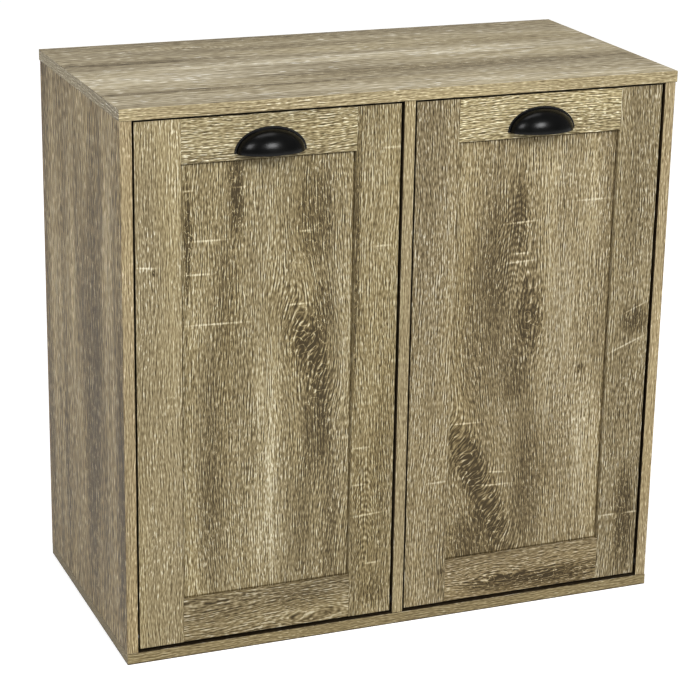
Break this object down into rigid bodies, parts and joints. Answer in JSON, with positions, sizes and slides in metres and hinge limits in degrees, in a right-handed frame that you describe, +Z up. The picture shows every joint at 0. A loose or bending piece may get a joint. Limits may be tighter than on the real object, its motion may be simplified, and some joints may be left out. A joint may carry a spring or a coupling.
{
  "type": "laundry sorter cabinet",
  "caption": "Low cabinet with tilt-out panelled doors on bottom pivots, each carrying a wire-framed canvas laundry bag; cup pulls, flat top and base.",
  "frame": {"origin": "on the floor, under the middle of the base panel", "axes": "+X to the right as seen from the front, +Y to the back, +Z up"},
  "size_m": [0.762, 0.403, 0.7366],
  "materials": {
    "oak_laminate": "limed oak print, satin",
    "hardboard": "smooth hardboard",
    "beech": "bare beech",
    "black_metal": "satin black",
    "zinc_steel": "zinc plated",
    "frame_wire": "bright plated wire",
    "white_nylon": "moulded",
    "black_nylon": "moulded",
    "ferrite": "sintered, dull",
    "canvas": "plain woven natural canvas"
  },
  "bodies": {
    "carcass": {"back_nails": "zinc_steel", "base_panel": "oak_laminate", "cam_bolts": "zinc_steel", "cam_nuts": "zinc_steel", "catch_bodies": "white_nylon", "catch_magnets": "ferrite", "catch_poles": "zinc_steel", "catch_screws": "zinc_steel", "centre_divider": "oak_laminate", "left_back_panel": "hardboard", "left_side_panel": "oak_laminate", "left_wall_rail": "oak_laminate", "pivot_bushes": "black_nylon", "right_back_panel": "hardboard", "right_side_panel": "oak_laminate", "right_wall_rail": "oak_laminate", "stay_studs": "zinc_steel", "top_panel": "oak_laminate", "wood_dowels": "beech"},
    "left_door": {"left_bag_frame": "frame_wire", "left_bag_frame_screws": "zinc_steel", "left_cup_pull": "black_metal", "left_door_bottom_rail": "oak_laminate", "left_door_left_stile": "oak_laminate", "left_door_panel": "oak_laminate", "left_door_right_stile": "oak_laminate", "left_door_top_rail": "oak_laminate", "left_laundry_bag": "canvas", "left_pivot_pins": "zinc_steel", "left_pull_screws": "zinc_steel", "left_stay_screws": "zinc_steel", "left_strike_plate": "zinc_steel", "left_strike_screws": "zinc_steel", "left_tilt_stays": "zinc_steel"},
    "right_door": {"right_bag_frame": "frame_wire", "right_bag_frame_screws": "zinc_steel", "right_cup_pull": "black_metal", "right_door_bottom_rail": "oak_laminate", "right_door_left_stile": "oak_laminate", "right_door_panel": "oak_laminate", "right_door_right_stile": "oak_laminate", "right_door_top_rail": "oak_laminate", "right_laundry_bag": "canvas", "right_pivot_pins": "zinc_steel", "right_pull_screws": "zinc_steel", "right_stay_screws": "zinc_steel", "right_strike_plate": "zinc_steel", "right_strike_screws": "zinc_steel", "right_tilt_stays": "zinc_steel"}
  },
  "joints": [
    {"name": "left_door_tilt", "type": "hinge", "parent": "carcass", "child": "left_door", "pos_m": [-0.186, -0.179, 0.034], "axis": [1, 0, 0], "range_deg": [0, 30]},
    {"name": "right_door_tilt", "type": "hinge", "parent": "carcass", "child": "right_door", "pos_m": [0.186, -0.179, 0.034], "axis": [1, 0, 0], "range_deg": [0, 30]}
  ]
}
